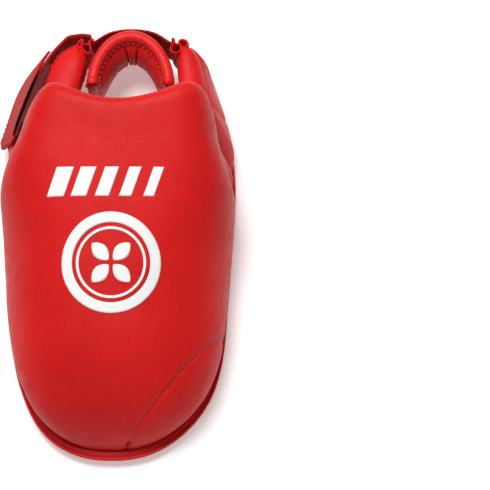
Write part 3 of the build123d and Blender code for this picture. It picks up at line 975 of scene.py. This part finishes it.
def arm_piece(name, side):
    """One padded ankle arm, closed at both ends, its heel end drawn together.

    Leaves the line of its stitched seam and the directions out of it in arm_seams.
    """
    end_rows = ARM_CLOSE_Y + ARM_CLOSE_LENGTH * np.sin(np.linspace(0, PI / 2, 16))
    rows = np.concatenate([np.linspace(ARM_START_Y, ARM_CLOSE_Y, 70), end_rows[1:]])
    loop = spline(ARM_SECTION, ARM_COLS, closed=True)
    inner = np.clip((loop[:, 0] - 0.3) / 0.7, 0, 1)
    sections = []
    for y in rows:
        closing = max(0.0, y - ARM_CLOSE_Y) / (ARM_CLOSE_LENGTH + 0.4)
        close = math.sqrt(1 - closing**2)
        thick = float(arm_thickness(min(y, ARM_END_Y)))
        share = 0.5 + (loop[:, 0] - 0.5) * (0.35 + 0.65 * close)
        height = 25 + (loop[:, 1] - 25) * (0.80 + 0.20 * close)
        behind = y - SLANT_Y - SLANT * (height - FOOT)
        belly = STRAP_BELLY * peak(y - 85, 11) if side < 0 else 0.0
        puff = (ARM_PUFF[side] + belly) * smooth(behind / 12) * smooth((111 - y) / 17)
        puff = puff - START_SEAM_DEPTH * peak(behind, 3.2) - PANEL_SEAM_DEPTH * peak(y - PANEL_SEAM_Y, 1.3)
        swell = ARM_INNER_PUFF * inner * smooth((y - 72) / 14) * close
        depth = share * thick - puff * loop[:, 2] + swell
        sections.append(arm_place(side, np.full(ARM_COLS, y), height, depth))
    sections = np.stack(sections)
    outward = unit(sections - sections.mean(1, keepdims=True))
    uneven = 2 * noise_3d(sections, 25.0, 21)
    fine = wave(sections[..., 1], ARM_WRINKLE[0], uneven) * ARM_WRINKLE[1] * inner
    slow = noise_3d(sections, 42.0, 22 + side) * 0.5
    near_end = smooth((sections[..., 1] - 84) / 20)
    pleat = wave(sections[..., 2], ARM_PLEAT[0], side) * ARM_PLEAT[1] * near_end
    seam_column = int(np.argmin(np.abs(loop[:, 1] - SEAM_HEIGHT) + 99 * (loop[:, 0] > 0.3)))
    from_seam = np.arange(ARM_COLS)[None, :] - seam_column
    groove = STITCHED_SEAM_DEPTH * peak(from_seam, 1.1)
    sections = sections + outward * (fine + slow + pleat - groove)[..., None]
    arm_seams[side] = (sections[SEAM_ROWS, seam_column], outward[SEAM_ROWS, seam_column])
    piece = swept(name, sections, COVER, "shell")
    row_y = rows[:, None]
    sewn = np.maximum(peak(from_seam, 1.6), peak(row_y - PANEL_SEAM_Y, 2.0) * loop[None, :, 2])
    sewn = np.maximum(sewn, smooth((48 - row_y) / 8) + smooth((row_y - 100) / 5))
    sewn = np.maximum(sewn, smooth((12 - sections[..., 2]) / 5))
    if side < 0:                     # the strap's loop patch holds the outer panel flat
        sewn = np.maximum(sewn, smooth((0.5 - loop[None, :, 0]) / 0.3))
    carried = settle_cloth(piece, np.clip(sewn, 0, 1).ravel(), ARM_CAP)
    arm_seams[side] = (carried(arm_seams[side][0]), arm_seams[side][1])
    return piece


for arm_name, side in ARMS:
    arm = arm_piece(arm_name + "_padded", side)
    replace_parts(arm, arm_name + "_cover", arm_name + "_foam")


# plan of a drawn-together frill: out from the heel's middle, and behind the arm's end
FRILL = [
    (20.9, 1.9), (22.0, 1.5), (22.3, 0.2), (21.5, -2.2), (22.9, -4.3), (25.2, -4.4), (26.3, -2.2),
    (26.0, 0.6), (27.4, 1.9), (29.2, 1.2), (29.5, -0.6), (27.9, -1.6), (27.8, -3.4), (29.6, -4.2),
]
FRILL_HEIGHT, FRILL_TOP = 31.0, 45.2


def gather_piece(name, side):
    """The drawn-together frill of leather at an arm's heel end."""
    count = 130
    flat = spline(FRILL, count)
    share = np.linspace(0, 1, count)
    wave = np.sin(share * 17 + side)
    x = HEEL_SHIFT + side * (flat[:, 0] + 0.5)
    path = np.stack([x, ARM_END_Y + flat[:, 1] + 0.4, FRILL_TOP - FRILL_HEIGHT / 2 + 0.5 * wave], 1)
    across = unit(np.stack([0.05 * side * wave, 0.05 * np.cos(share * 11), np.ones(count)], 1))
    return ribbon(name + "_frill", path, across, FRILL_HEIGHT + wave, 1.5, COVER, "shell", 0.0, 21)


for arm_name, side in ARMS:
    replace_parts(gather_piece(arm_name + "_gather", side), arm_name + "_gather")
for arm_name, side in reversed(ARMS):
    stitch_row(arm_name + "_stitches", *arm_seams[side], "shell", 3.0, 2.1, 0.26, 0.05)


# ---------------------------------------------------------------- elastics under the foot

ALONG_FOOT = [0.0, 1.0, 0.0]
band_low, band_high = box_mm("arch_band")
band_x = np.linspace(band_low[0] - 1.5, band_high[0] + 1.5, 90)
band_y, band_z = ((band_low + band_high) / 2)[1:]
band_path = raised(np.stack([band_x, band_y + 0.02 * band_x], 1), band_z)
band_width = (band_high[1] - band_low[1]) - 1.6 * np.cos(band_x / band_high[0] * PI / 2)
arch_band = ribbon("arch_band_elastic", band_path, ALONG_FOOT, band_width, 1.6, ELASTIC, "shell", 0.25, 25)
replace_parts(arch_band, "arch_band")

loop_low, loop_high = box_mm("toe_loop")
tab_low, tab_high = box_mm("toe_loop_tabs")
# across the foot and up: the toe loop's line, which sags and is gathered into a fold at the middle
LOOP_LINE = [
    (loop_low[0], 20.2), (-22.0, 15.0), (-14.0, 10.4), (-5.0, 8.6), (0.5, 7.2), (3.4, 9.6), (2.6, 13.0),
    (4.6, 14.6), (8.0, 11.6), (12.6, 7.4), (17.0, 7.8), (21.6, 12.6), (25.0, 17.6), (loop_high[0], 20.2),
]
loop_x, loop_z = spline(LOOP_LINE, 150).T
loop_y, loop_width = (loop_low[1] + loop_high[1]) / 2, loop_high[1] - loop_low[1]
loop_share = np.linspace(0, 1, len(loop_x))
loop_path = np.stack([loop_x, loop_y + 1.2 * wave(loop_share, 1), loop_z], 1)
pinch = 4.5 * peak(loop_share - 0.52, 0.09)
toe_loop = ribbon(
    "toe_loop_elastic", loop_path, [0.03, 1.0, 0.0], loop_width - pinch, 1.4, ELASTIC, "shell", 0.22, 17
)
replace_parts(toe_loop, "toe_loop")
loop_flat = (loop_width * MM, float(run_along(loop_path)[-1]) * MM)

TAB_DROP = 3.2                       # how far a tab sinks from the loop out to its outer end
tab_z = (tab_low[2] + tab_high[2]) / 2 - 0.9
for tab_name, inner, outer in (
    ("left", loop_low[0] + 1.5, tab_low[0]),
    ("right", loop_high[0] - 1.5, tab_high[0]),
):
    tab_x = np.linspace(inner, outer, 16)
    tab_drop = TAB_DROP * smooth(np.abs(tab_x - inner) / abs(outer - inner))
    tab_path = np.stack([tab_x, np.full(len(tab_x), loop_y), tab_z - tab_drop], 1)
    tab = ribbon(
        f"toe_loop_tab_{tab_name}", tab_path, ALONG_FOOT, loop_width, 1.5, ELASTIC, "shell", 0.22, 17
    )
    if tab_name == "left":
        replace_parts(tab, "toe_loop_tabs")
    for row, place in enumerate((3, 12)):
        row_path = np.tile(tab_path[place] - 0.8 * UP, (40, 1))
        row_path[:, 1] = np.linspace(loop_low[1] + 1.5, loop_high[1] - 1.5, 40)
        stitch_row(f"toe_tab_stitches_{tab_name}_{row}", row_path, -UP, "shell", 2.2, 1.7, 0.25, 0.1)


# ---------------------------------------------------------------- heel sling

PAD_BOTTOM, PAD_TOP = box_mm("heel_bead_bottom")[0][2], PAD_HIGH[2]
PAD_HALF = (PAD_HIGH[0] - PAD_LOW[0]) / 2 + 0.6
PAD_CENTRE_Y, PAD_FRONT_Y = 80.0, PAD_LOW[1] + 3.2
PAD_REACH = PAD_HIGH[1] - PAD_CENTRE_Y
PAD_BEAD_RADIUS = 3.3
PAD_MIDDLE_Z = (PAD_BOTTOM + PAD_TOP) / 2


def pad_line(inset, count, front=0.0):
    """Plan line of the pad from its right leg over the arch to its left leg, at an inset.

    front is how far behind the legs' ends it starts and ends.
    """
    half, reach = PAD_HALF - inset, PAD_REACH - inset
    leg_end = [PAD_FRONT_Y + front]
    angle = np.linspace(0, PI, 80)
    x = np.concatenate([[half], half * np.cos(angle), [-half]]) + HEEL_SHIFT - 0.4
    y = np.concatenate([leg_end, PAD_CENTRE_Y + reach * np.sin(angle), leg_end])
    return even(np.stack([x, y], 1), count)


def pad_bead():
    """The bead round the pad's edge: over the top arch, down one leg's end, back below, and up."""
    radius = PAD_BEAD_RADIUS
    top = raised(pad_line(radius, 90, 5.0), PAD_TOP - radius)
    bottom = raised(pad_line(radius, 90, 5.0), PAD_BOTTOM + radius)[::-1]
    corner = PAD_FRONT_Y + radius
    left = [(top[-1, 0], corner, PAD_TOP - radius - 4), (top[-1, 0], corner, PAD_BOTTOM + radius + 4)]
    right = [(top[0, 0], corner, PAD_BOTTOM + radius + 4), (top[0, 0], corner, PAD_TOP - radius - 4)]
    path = spline(np.vstack([top[::6], top[-1:], left, bottom[::6], bottom[-1:], right]), 360, closed=True)
    inward = np.array([HEEL_SHIFT, PAD_CENTRE_Y + 4, PAD_MIDDLE_Z]) - path
    ripple = 1 - 0.015 * (1 + np.sin(np.linspace(0, 2 * PI * 74, len(path))))
    sections = tube_sections(path, radius * ripple, 18, inward, closed=True)
    return swept("heel_pad_bead", sections, BEAD, "heel_sling", closed=True)


heel_bead = pad_bead()
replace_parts(heel_bead, "heel_bead_top", "heel_bead_bottom")

PAD_ROWS, PAD_COLS, BACK_COLS = 151, 49, 21
PAD_CROWN, PAD_PUCKER = 9.0, 0.42    # how far its face stands in, and depth of the puckers at its seams
PAD_CAP = 2.4                        # the longest move of its cloth
PAD_SEAM_INSET, PAD_SEAM_HEIGHT = 6.9, 15.2   # of the stitches, from the pad's edge and its middle
# folds in the pad's face: where along it from -1 to 1, depth, width
PAD_FOLDS = [
    (-0.13, 3.0, 0.022), (0.12, 2.6, 0.02), (-0.42, 1.3, 0.02), (0.44, 1.4, 0.022), (0.0, 0.8, 0.015),
]


def pad_face():
    """The padded inner face: crowned between the beads, with gathers that fan out of the seam."""
    up = np.linspace(-1, 1, PAD_COLS)
    crown = (1 - np.abs(up) ** 2.6) ** 0.75
    share = np.linspace(-1, 1, PAD_ROWS)
    legs = 0.45 + 0.55 * np.cos(share * PI / 2) ** 0.6
    legs = legs * np.sqrt(np.clip(1 - np.abs(share) ** 14, 0, 1))
    folds = sum(deep * peak(share - place, wide) for place, deep, wide in PAD_FOLDS)
    pucker = PAD_PUCKER * np.sin(share * PI * 46 + 1.5 * np.sin(share * 9))
    base = pad_line(4.2, PAD_ROWS, 3.0)
    depth = PAD_CROWN * legs[:, None] * crown - folds[:, None] * crown**1.5
    depth = depth + pucker[:, None] * np.exp(-((1 - np.abs(up)) / 0.22)) * legs[:, None]
    flat = base[:, None] + left_of(tangents(base))[:, None] * depth[..., None]
    return standing(flat, PAD_MIDDLE_Z + up * ((PAD_TOP - PAD_BOTTOM) / 2 - 4.6))


def pad_back():
    """The pad's outer face, drawn in a little along both beads."""
    base = pad_line(0.9, PAD_ROWS, 2.5)
    up = np.linspace(-1, 1, BACK_COLS)
    flat = base[:, None] + left_of(tangents(base))[:, None] * (1.6 * up**6)[None, :, None]
    return standing(flat, PAD_MIDDLE_Z + up * ((PAD_TOP - PAD_BOTTOM) / 2 - 4.0))


pad_loop = np.concatenate([pad_face(), pad_back()[:, ::-1]], 1)
pad_cushion = swept("heel_pad_cushion", pad_loop, LINING, "heel_sling")
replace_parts(pad_cushion, "heel_pad_foam", "heel_pad_face", "heel_pad_back")
pad_pins = np.ones(pad_loop.shape[:2])
face_up = np.abs(np.linspace(-1, 1, PAD_COLS))[None, :]
face_along = np.abs(np.linspace(-1, 1, PAD_ROWS))[:, None]
pad_pins[:, :PAD_COLS] = np.maximum(smooth((face_up - 0.72) / 0.16), smooth((face_along - 0.86) / 0.08))
pad_carried = settle_cloth(pad_cushion, pad_pins.ravel(), PAD_CAP)
for level, sign in (("top", 1), ("bottom", -1)):
    seam_line = raised(pad_line(PAD_SEAM_INSET, 160, 5.0), PAD_MIDDLE_Z + sign * PAD_SEAM_HEIGHT)
    to_middle = np.array([HEEL_SHIFT, PAD_CENTRE_Y, PAD_MIDDLE_Z]) - seam_line
    to_middle[:, 2] = sign * 6.0
    seam_line = pad_carried(seam_line)
    stitch_row(f"heel_pad_stitches_{level}", seam_line, to_middle, "heel_sling", 2.8, 2.0, 0.27, 0.3)

elastic_low, elastic_high = box_mm("heel_elastic")
ELASTIC_REACH = 3.6                  # it runs on into the arms' frills at both ends
elastic_ends = [elastic_low[0] - ELASTIC_REACH, elastic_high[0] + ELASTIC_REACH]
elastic_points = [
    (elastic_ends[0], ARM_END_Y + 0.6), (elastic_low[0] + 2, 105.8), (HEEL_SHIFT - 12, 111.4),
    (HEEL_SHIFT, elastic_high[1] - 0.7),
    (HEEL_SHIFT + 12, 111.4), (elastic_high[0] - 2, 105.8), (elastic_ends[1], ARM_END_Y + 0.6),
]
elastic_path = raised(spline(elastic_points, 110), (elastic_low[2] + elastic_high[2]) / 2 - 0.5)
elastic_height = elastic_high[2] - elastic_low[2]
ELASTIC_MIDDLE = 55                  # the two halves of the band share this point of the path
for half_name, part, end_x, inward in (
    ("left", elastic_path[: ELASTIC_MIDDLE + 1], elastic_low[0], 1),
    ("right", elastic_path[ELASTIC_MIDDLE:], elastic_high[0], -1),
):
    half_band = ribbon(
        f"heel_elastic_band_{half_name}", part, UP, elastic_height, 1.5, ELASTIC, None, 0.2, 19
    )
    if half_name == "left":
        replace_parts(half_band, "heel_elastic")
    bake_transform(half_band)


# ---------------------------------------------------------------- closure strap

STRAP_LOW, STRAP_HIGH = (corner[2] for corner in box_mm("strap_web"))
STRAP_MIDDLE = (STRAP_LOW + STRAP_HIGH) / 2
# plan line that the strap lies along, from its fold past the arm's heel end to the frill
STRAP_LINE = [
    (-62.8, 55.0), (-58.8, 67.0), (-54.4, 79.5), (-49.0, 91.0), (-41.2, 101.6), (-31.5, 108.6),
    (-21.5, 110.8), (-15.5, 110.2),
]
STRAP_LEAN, TAIL_LEAN = 0.27, 0.40   # their tops lean in by this share of the height


def strap_strip(
    name, line, lift, thickness, height, look, body, lower=0.0, cut=0.0, splay=0.0, lean=STRAP_LEAN, bow=0.0
):
    """A strip of the strap standing along a plan line, lift outside it.

    lower is how far the strip sits below the strap's middle, cut how far the lower corner of its heel
    end is cut back, splay how far that end stands off, bow how far its middle does, and lean how far
    its top leans in as a share of its height.
    """
    flat = spline(line, 110)
    along = tangents(flat)
    out = left_of(along)
    share = np.linspace(0, 1, len(flat))[:, None]
    up = np.linspace(-1, 1, 17)
    z = STRAP_MIDDLE - lower + height / 2 * up
    back = cut * (0.5 - 0.5 * up) * smooth((share - 0.55) / 0.45)
    away = lift + splay * share**2.4 + 0.35 * np.sin(share * 8) * up
    away = away + bow * np.sin(PI * share**0.8) ** 0.8
    away = away - lean * np.maximum(0.25, along[:, 1:]) * (z - STRAP_LOW)
    middle = flat[:, None] + out[:, None] * away[..., None] - along[:, None] * back[..., None]
    aside = out[:, None] * thickness / 2
    loop = np.concatenate([middle + aside, (middle - aside)[:, ::-1]], 1)
    across = height / 2 * np.concatenate([up, up[::-1]])
    weave = np.stack(np.broadcast_arrays(run_along(flat)[:, None], across[None, :]), 2)
    return swept(name, standing(loop, np.concatenate([z, z[::-1]])), look, body, weave=weave)


WEB_HEIGHT, WEB_THICK = STRAP_HIGH - STRAP_LOW, 1.5
WEB_LIFT, TAIL_LIFT, THREAD_LIFT = 1.2, 4.3, 5.2   # how far out from the strap's plan line
FOLD_REACH = 2.6                     # how far the turn of the strap stands past the line's start
TAIL_SPLAY, TAIL_BOW = 1.4, 0.6
PATCH_HEIGHT = WEB_HEIGHT - 1.5
patch_line = [(x + 0.7, y) for x, y in ((-60.3, 62.5), *STRAP_LINE[1:4], (-45.6, 96.5))]
arm_patch = strap_strip("arm_loop_patch_pile", patch_line, -2.0, 4.2, PATCH_HEIGHT + 2, PILE, "shell")
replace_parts(arm_patch, "arm_loop_patch")
hook_patch = strap_strip(
    "strap_hook_patch_pile", STRAP_LINE[:4], -0.4, 1.6, PATCH_HEIGHT + 1, PILE, "closure_strap"
)
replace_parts(hook_patch, "strap_hook_patch")
strap_web = strap_strip("strap_web_band", STRAP_LINE, WEB_LIFT, WEB_THICK, WEB_HEIGHT, WEBBING, None)
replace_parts(strap_web, "strap_web")
TAIL_LINE = [*STRAP_LINE[:4], (-41.6, 103.0)]
TAIL_SHARE = 0.8                     # the stitches go along this share of the tail
tail_patch = strap_strip(
    "tail_hook_patch_pile", TAIL_LINE[:4], 2.7, 0.9, PATCH_HEIGHT - 2, PILE, None,
    splay=0.6, lean=0.32, bow=0.2,
)
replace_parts(tail_patch, "tail_hook_patch")
strap_tail = strap_strip(
    "strap_tail_band", TAIL_LINE, TAIL_LIFT, WEB_THICK, WEB_HEIGHT, WEBBING, None, cut=8.0,
    splay=TAIL_SPLAY, lean=TAIL_LEAN, bow=TAIL_BOW,
)
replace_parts(strap_tail, "tail_web")
tail_flat = spline(TAIL_LINE[:4], 60)
tail_along = tangents(tail_flat)
tail_out = left_of(tail_along)
tail_share = np.linspace(0, TAIL_SHARE, len(tail_flat))[:, None]
tail_away = THREAD_LIFT + TAIL_SPLAY * tail_share**2.4 + TAIL_BOW * np.sin(PI * tail_share**0.8) ** 0.8
tail_stitches = []
for edge, sign in (("top", 1), ("bottom", -1)):
    row_z = STRAP_MIDDLE + sign * (WEB_HEIGHT / 2 - 2.2)
    row_away = tail_away - TAIL_LEAN * tail_along[:, 1:] * (row_z - STRAP_LOW)
    tail_stitches.append(
        stitch_row(
            f"strap_tail_stitches_{edge}", raised(tail_flat + tail_out * row_away, row_z),
            raised(tail_out, 0.0), None, 2.6, 1.9, 0.24, 0.0,
        )
    )


def strap_fold():
    """The turn where the strap goes back over itself, a half ring as high as the strap."""
    start, along = np.array(STRAP_LINE[0]), unit(np.subtract(STRAP_LINE[1], STRAP_LINE[0]))
    out = np.array([-along[1], along[0]])
    turn = np.linspace(0, PI, 24)
    radius = (TAIL_LIFT - WEB_LIFT) / 2
    middle = start + out * (WEB_LIFT + radius)
    flat = middle + np.outer(-np.cos(turn), out) * radius - np.outer(np.sin(turn), along) * FOLD_REACH
    lean = np.linspace(STRAP_LEAN, TAIL_LEAN, len(turn))[:, None] * -out
    path = raised(flat + lean * WEB_HEIGHT / 2, STRAP_MIDDLE)
    across = unit(raised(lean, 1.0))
    ribbon("strap_fold_band", path, across, WEB_HEIGHT, WEB_THICK, WEBBING, "closure_strap", 0.0, 17)


strap_fold()
tab_line = [(-60.0, 45.5), (-60.8, 50.0), (-60.9, 55.0), (-58.9, 59.5)]
anchor = strap_strip("strap_anchor_leather", tab_line, 1.6, 2.0, 15.0, COVER, "shell", lower=3.0)
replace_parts(anchor, "strap_anchor_tab")
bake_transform(strap_web)
for piece in (strap_tail, tail_patch, *tail_stitches):
    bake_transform(piece)


# ---------------------------------------------------------------- camera, light and floor

MM_PER_PIXEL = 0.5495
FRAME_PIXELS = 490
OBJECT_CENTRE_PIXEL = 119.2
LENS, SENSOR = 150.0, 36.0
ELEVATION = math.radians(76)
FLOOR_REACH = 3.0


def add_camera():
    """The photograph's view: from above the toe end, the guard in the left half of the frame."""
    data = bpy.data.cameras.new("camera")
    data.lens, data.sensor_width = LENS, SENSOR
    data.clip_start, data.clip_end = 0.05, 20
    camera = bpy.data.objects.new("camera", data)
    bpy.context.scene.collection.objects.link(camera)
    bpy.context.scene.camera = camera
    distance = MM_PER_PIXEL * FRAME_PIXELS * MM * LENS / SENSOR
    back = Vector((0, -math.cos(ELEVATION), math.sin(ELEVATION)))
    aside = (FRAME_PIXELS / 2 - OBJECT_CENTRE_PIXEL) * MM_PER_PIXEL * MM
    target = Vector((aside, -0.0021, 0.015))
    camera.location = target + back * distance
    camera.rotation_mode = "QUATERNION"
    camera.rotation_quaternion = (-back).to_track_quat("-Z", "Y")


def add_area(name, place, aim, size, power):
    data = bpy.data.lights.new(name, "AREA")
    data.shape, data.size, data.energy = "DISK", size, power
    lamp = bpy.data.objects.new(name, data)
    bpy.context.scene.collection.objects.link(lamp)
    lamp.location = place
    lamp.rotation_mode = "QUATERNION"
    lamp.rotation_quaternion = (Vector(aim) - Vector(place)).to_track_quat("-Z", "Y")


def add_stage():
    """The white floor, the white surroundings and the two lights."""
    mesh = bpy.data.meshes.new("floor")
    corners = [(x * FLOOR_REACH, y * FLOOR_REACH, 0) for x, y in ((-1, -1), (1, -1), (1, 1), (-1, 1))]
    mesh.from_pydata(corners, [], [(0, 1, 2, 3)])
    floor = bpy.data.objects.new("floor", mesh)
    bpy.context.scene.collection.objects.link(floor)
    material, tree, shader = new_material("floor")
    shader.inputs["Base Color"].default_value = (0.9, 0.9, 0.9, 1)
    shader.inputs["Roughness"].default_value = 0.9
    shader.inputs["Emission Color"].default_value = (1, 1, 1, 1)
    shader.inputs["Emission Strength"].default_value = 0.3
    mesh.materials.append(material)
    world = bpy.data.worlds.new("studio")
    bpy.context.scene.world = world
    world.use_nodes = True
    backdrop = world.node_tree.nodes["Background"]
    backdrop.inputs["Color"].default_value = (1, 1, 1, 1)
    backdrop.inputs["Strength"].default_value = 0.22
    add_area("key", (-0.14, 0.36, 1.0), (0, 0, 0.03), 0.5, 11.3)
    add_area("fill", (-0.2, -0.9, 0.9), (0, 0, 0.03), 0.8, 1.0)


add_camera()
add_stage()
bpy.context.scene.view_settings.view_transform = "Standard"
